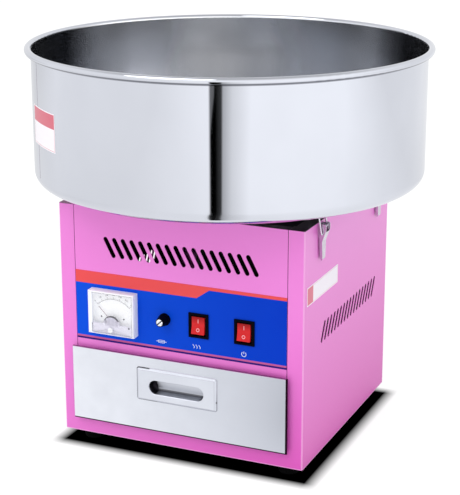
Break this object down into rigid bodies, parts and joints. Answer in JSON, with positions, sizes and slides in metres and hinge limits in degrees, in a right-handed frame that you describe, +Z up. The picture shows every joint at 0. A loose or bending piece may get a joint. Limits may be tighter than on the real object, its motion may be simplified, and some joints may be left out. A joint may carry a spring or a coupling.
{
  "type": "candy floss machine",
  "caption": "Table-top electric candy floss machine: sheet-metal casing with drawer, meter and switches, spinning floss head and a wide bowl held by toggle latches.",
  "frame": {"origin": "on the table surface under the middle of the bowl and casing, at the bottom of the rubber feet", "axes": "+Z up, -Y towards the front with the control panel and drawer, +X to the right seen from the front"},
  "size_m": [0.5199, 0.52, 0.5124],
  "materials": {
    "black_plastic": "moulded",
    "board": "laminate",
    "bowl_steel": "bright polished stainless steel",
    "brass": "turned",
    "carbon": "pressed carbon",
    "cast_aluminium": "as cast",
    "clear_plastic": "clear moulding",
    "drawer_steel": "satin stainless steel",
    "element_steel": "heat tinted",
    "galvanised_steel": "galvanised sheet",
    "glass": "clear",
    "head_aluminium": "spun and polished",
    "needle_paint": "matt",
    "panel_film": "printed film",
    "pink_paint": "gloss powder coat",
    "plated_steel": "bright zinc plating",
    "red_plastic": "translucent moulding",
    "rubber": "matt",
    "white_plastic": "moulded"
  },
  "bodies": {
    "casing": {"casing_shell": "pink_paint", "front_panel": "pink_paint", "back_panel": "pink_paint", "back_panel_screws": "plated_steel", "top_deck": "galvanised_steel", "base_pan": "galvanised_steel", "rubber_feet": "rubber", "foot_screws": "plated_steel", "control_overlay": "panel_film", "meter_case": "black_plastic", "meter_dial": "white_plastic", "meter_cover": "clear_plastic", "meter_mask": "white_plastic", "fuse_holder": "black_plastic", "switch_housings": "black_plastic", "drawer_runners": "galvanised_steel", "bowl": "bowl_steel", "bowl_seat_ring": "plated_steel", "bowl_gasket": "rubber", "spindle_guard": "head_aluminium", "bowl_catches": "plated_steel", "latch_bases": "plated_steel", "latch_pins": "plated_steel", "motor_can": "galvanised_steel", "motor_end_bells": "cast_aluminium", "motor_bearings": "plated_steel", "motor_mounts": "rubber", "brush_board": "board", "brush_holders": "brass", "carbon_brushes": "carbon", "cable_gland": "black_plastic", "terminal_block": "white_plastic"},
    "spinner": {"motor_shaft": "plated_steel", "motor_rotor": "galvanised_steel", "cooling_fan": "black_plastic", "slip_ring_hub": "board", "slip_rings": "brass", "head_base": "head_aluminium", "head_band": "head_aluminium", "head_lid": "head_aluminium", "head_posts": "plated_steel", "heating_element": "element_steel", "head_nut": "plated_steel"},
    "drawer": {"drawer_front": "drawer_steel", "drawer_box": "drawer_steel", "drawer_handle": "drawer_steel"},
    "heat_rocker": {"heat_rocker": "red_plastic"},
    "power_rocker": {"power_rocker": "red_plastic"},
    "meter_needle": {"meter_needle": "needle_paint"},
    "meter_zero_screw": {"meter_zero_screw": "white_plastic"},
    "fuse_cap": {"fuse_cap": "black_plastic", "fuse_link": "glass"},
    "latch_lever_front_left": {"latch_lever_front_left": "plated_steel"},
    "latch_bail_front_left": {"latch_bail_front_left": "plated_steel"},
    "latch_lever_front_right": {"latch_lever_front_right": "plated_steel"},
    "latch_bail_front_right": {"latch_bail_front_right": "plated_steel"},
    "latch_lever_rear_left": {"latch_lever_rear_left": "plated_steel"},
    "latch_bail_rear_left": {"latch_bail_rear_left": "plated_steel"},
    "latch_lever_rear_right": {"latch_lever_rear_right": "plated_steel"},
    "latch_bail_rear_right": {"latch_bail_rear_right": "plated_steel"}
  },
  "joints": [
    {"name": "head_spin", "type": "hinge", "parent": "casing", "child": "spinner", "pos_m": [0, 0, 0.3], "axis": [0, 0, 1], "continuous": true},
    {"name": "drawer_slide", "type": "slide", "parent": "casing", "child": "drawer", "axis": [0, -1, 0], "range_m": [0, 0.22]},
    {"name": "heat_switch", "type": "hinge", "parent": "casing", "child": "heat_rocker", "pos_m": [0.0277, -0.1544, 0.1855], "axis": [1, 0, 0], "range_deg": [0, 12]},
    {"name": "power_switch", "type": "hinge", "parent": "casing", "child": "power_rocker", "pos_m": [0.089, -0.1544, 0.1855], "axis": [1, 0, 0], "range_deg": [0, 12]},
    {"name": "needle_swing", "type": "hinge", "parent": "casing", "child": "meter_needle", "pos_m": [-0.0888, -0.164, 0.1738], "axis": [0, 1, 0], "range_deg": [0, 90], "stiffness_Nm_per_rad": 0.0001},
    {"name": "zero_screw_turn", "type": "hinge", "parent": "casing", "child": "meter_zero_screw", "pos_m": [-0.0888, -0.1714, 0.167], "axis": [0, 1, 0], "range_deg": [-90, 90]},
    {"name": "fuse_cap_turn", "type": "hinge", "parent": "casing", "child": "fuse_cap", "pos_m": [-0.019, -0.165, 0.1873], "axis": [0, -1, 0], "range_deg": [0, 90]},
    {"name": "lever_front_left", "type": "hinge", "parent": "casing", "child": "latch_lever_front_left", "pos_m": [-0.1725, -0.107, 0.316], "axis": [0, 1, 0], "range_deg": [0, 100]},
    {"name": "bail_front_left", "type": "hinge", "parent": "latch_lever_front_left", "child": "latch_bail_front_left", "pos_m": [-0.1713, -0.107, 0.308], "axis": [0, 1, 0], "range_deg": [-150, 0]},
    {"name": "lever_front_right", "type": "hinge", "parent": "casing", "child": "latch_lever_front_right", "pos_m": [0.1725, -0.107, 0.316], "axis": [0, -1, 0], "range_deg": [0, 100]},
    {"name": "bail_front_right", "type": "hinge", "parent": "latch_lever_front_right", "child": "latch_bail_front_right", "pos_m": [0.1713, -0.107, 0.308], "axis": [0, -1, 0], "range_deg": [-150, 0]},
    {"name": "lever_rear_left", "type": "hinge", "parent": "casing", "child": "latch_lever_rear_left", "pos_m": [-0.1725, 0.107, 0.316], "axis": [0, 1, 0], "range_deg": [0, 100]},
    {"name": "bail_rear_left", "type": "hinge", "parent": "latch_lever_rear_left", "child": "latch_bail_rear_left", "pos_m": [-0.1713, 0.107, 0.308], "axis": [0, 1, 0], "range_deg": [-150, 0]},
    {"name": "lever_rear_right", "type": "hinge", "parent": "casing", "child": "latch_lever_rear_right", "pos_m": [0.1725, 0.107, 0.316], "axis": [0, -1, 0], "range_deg": [0, 100]},
    {"name": "bail_rear_right", "type": "hinge", "parent": "latch_lever_rear_right", "child": "latch_bail_rear_right", "pos_m": [0.1713, 0.107, 0.308], "axis": [0, -1, 0], "range_deg": [-150, 0]}
  ],
  "couplings": [
    {"joint": "bail_front_left", "follows": "lever_front_left", "ratio": -1.5},
    {"joint": "bail_front_right", "follows": "lever_front_right", "ratio": -1.5},
    {"joint": "bail_rear_left", "follows": "lever_rear_left", "ratio": -1.5},
    {"joint": "bail_rear_right", "follows": "lever_rear_right", "ratio": -1.5}
  ]
}
